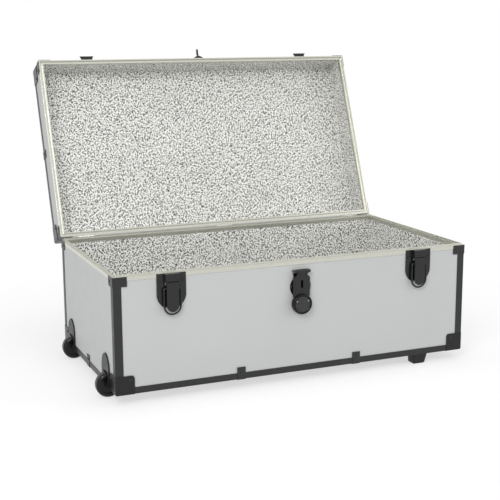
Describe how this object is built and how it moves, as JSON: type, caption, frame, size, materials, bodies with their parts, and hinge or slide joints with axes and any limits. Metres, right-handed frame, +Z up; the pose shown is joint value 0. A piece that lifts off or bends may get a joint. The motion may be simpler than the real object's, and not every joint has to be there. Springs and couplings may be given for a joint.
{
  "type": "wheeled storage trunk",
  "caption": "Wheeled footlocker trunk of vinyl-covered board with black metal edging, a stop-hinged lid, draw latches, a flip-up hasp lock and a pull handle.",
  "frame": {"origin": "on the floor under the middle of the base", "axes": "+X towards the end with the pull handle and feet, -Y the front with the latches and lock, +Z up"},
  "size_m": [0.801, 0.64, 0.6479],
  "materials": {
    "grey_vinyl_board": "vinyl-covered board",
    "flecked_lining": "matt printed paper",
    "nickel_rim": "satin nickel plate",
    "nickel_hardware": "nickel plate",
    "steel_pins": "plain",
    "black_edging": "satin black",
    "black_hardware": "semi-gloss black",
    "black_plastic": "moulded, satin",
    "black_wheel": "moulded, satin"
  },
  "bodies": {
    "base": {"bottom_panel": "grey_vinyl_board", "front_panel": "grey_vinyl_board", "back_panel": "grey_vinyl_board", "left_panel": "grey_vinyl_board", "right_panel": "grey_vinyl_board", "base_lining": "flecked_lining", "base_rim": "nickel_rim", "corner_angles": "black_edging", "bottom_angles": "black_edging", "base_corner_caps": "black_edging", "base_rim_clips": "black_edging", "base_edge_clamps": "black_edging", "base_rivets": "black_hardware", "front_wheel_housing": "black_plastic", "rear_wheel_housing": "black_plastic", "front_axle": "steel_pins", "rear_axle": "steel_pins", "front_foot": "black_plastic", "rear_foot": "black_plastic", "left_latch_plate": "black_hardware", "right_latch_plate": "black_hardware", "left_latch_pin": "steel_pins", "right_latch_pin": "steel_pins", "hasp_plate": "black_hardware", "hasp_pin": "steel_pins", "handle_brackets": "black_plastic", "hinge_base_leaves": "nickel_hardware", "hinge_pins": "nickel_hardware"},
    "lid": {"lid_top_panel": "grey_vinyl_board", "lid_front_panel": "grey_vinyl_board", "lid_back_panel": "grey_vinyl_board", "lid_left_panel": "grey_vinyl_board", "lid_right_panel": "grey_vinyl_board", "lid_lining": "flecked_lining", "lid_rim": "nickel_rim", "lid_corner_angles": "black_edging", "lid_top_angles": "black_edging", "lid_corner_caps": "black_edging", "lid_rim_clips": "black_edging", "lid_edge_clamps": "black_edging", "hinge_lid_leaves": "nickel_hardware", "left_latch_keeper": "black_hardware", "right_latch_keeper": "black_hardware", "lock_staple": "black_hardware", "lid_rivets": "black_hardware"},
    "left_lever": {"left_latch_lever": "black_hardware"},
    "right_lever": {"right_latch_lever": "black_hardware"},
    "left_bail": {"left_latch_bail": "black_hardware"},
    "right_bail": {"right_latch_bail": "black_hardware"},
    "hasp": {"hasp_strap": "black_hardware", "lock_housing": "black_hardware", "lock_cover": "black_hardware", "lock_cover_rivets": "nickel_hardware"},
    "plug": {"key_plug": "black_hardware"},
    "bolt": {"lock_bolt": "black_hardware"},
    "front_wheel": {"front_wheel": "black_wheel"},
    "rear_wheel": {"rear_wheel": "black_wheel"},
    "handle": {"handle_grip": "black_plastic"}
  },
  "joints": [
    {"name": "lid_hinge", "type": "hinge", "parent": "base", "child": "lid", "pos_m": [0, 0.2065, 0.2485], "axis": [1, 0, 0], "range_deg": [0, 112]},
    {"name": "left_lever_lift", "type": "hinge", "parent": "base", "child": "left_lever", "pos_m": [-0.268, -0.209, 0.2288], "axis": [1, 0, 0], "range_deg": [-90, 0]},
    {"name": "left_bail_swing", "type": "hinge", "parent": "left_lever", "child": "left_bail", "pos_m": [-0.268, -0.2085, 0.2196], "axis": [-1, 0, 0], "range_deg": [0, 180]},
    {"name": "right_lever_lift", "type": "hinge", "parent": "base", "child": "right_lever", "pos_m": [0.268, -0.209, 0.2288], "axis": [1, 0, 0], "range_deg": [-90, 0]},
    {"name": "right_bail_swing", "type": "hinge", "parent": "right_lever", "child": "right_bail", "pos_m": [0.268, -0.2085, 0.2196], "axis": [-1, 0, 0], "range_deg": [0, 180]},
    {"name": "hasp_flip", "type": "hinge", "parent": "base", "child": "hasp", "pos_m": [0, -0.2095, 0.227], "axis": [-1, 0, 0], "range_deg": [0, 180]},
    {"name": "key_turn", "type": "hinge", "parent": "hasp", "child": "plug", "pos_m": [0, -0.2031, 0.1617], "axis": [0, -1, 0], "range_deg": [0, 90]},
    {"name": "bolt_slide", "type": "slide", "parent": "hasp", "child": "bolt", "axis": [0, 0, 1], "range_m": [0, 0.0068]},
    {"name": "front_wheel_spin", "type": "hinge", "parent": "base", "child": "front_wheel", "pos_m": [-0.378, -0.136, 0.025], "axis": [0, 1, 0], "continuous": true},
    {"name": "rear_wheel_spin", "type": "hinge", "parent": "base", "child": "rear_wheel", "pos_m": [-0.378, 0.136, 0.025], "axis": [0, 1, 0], "continuous": true},
    {"name": "handle_swing", "type": "hinge", "parent": "base", "child": "handle", "pos_m": [0.39, 0, 0.1745], "axis": [0, -1, 0], "range_deg": [0, 95]}
  ],
  "couplings": [
    {"joint": "bolt_slide", "follows": "key_turn", "m_per_rad": 0.0042675}
  ]
}
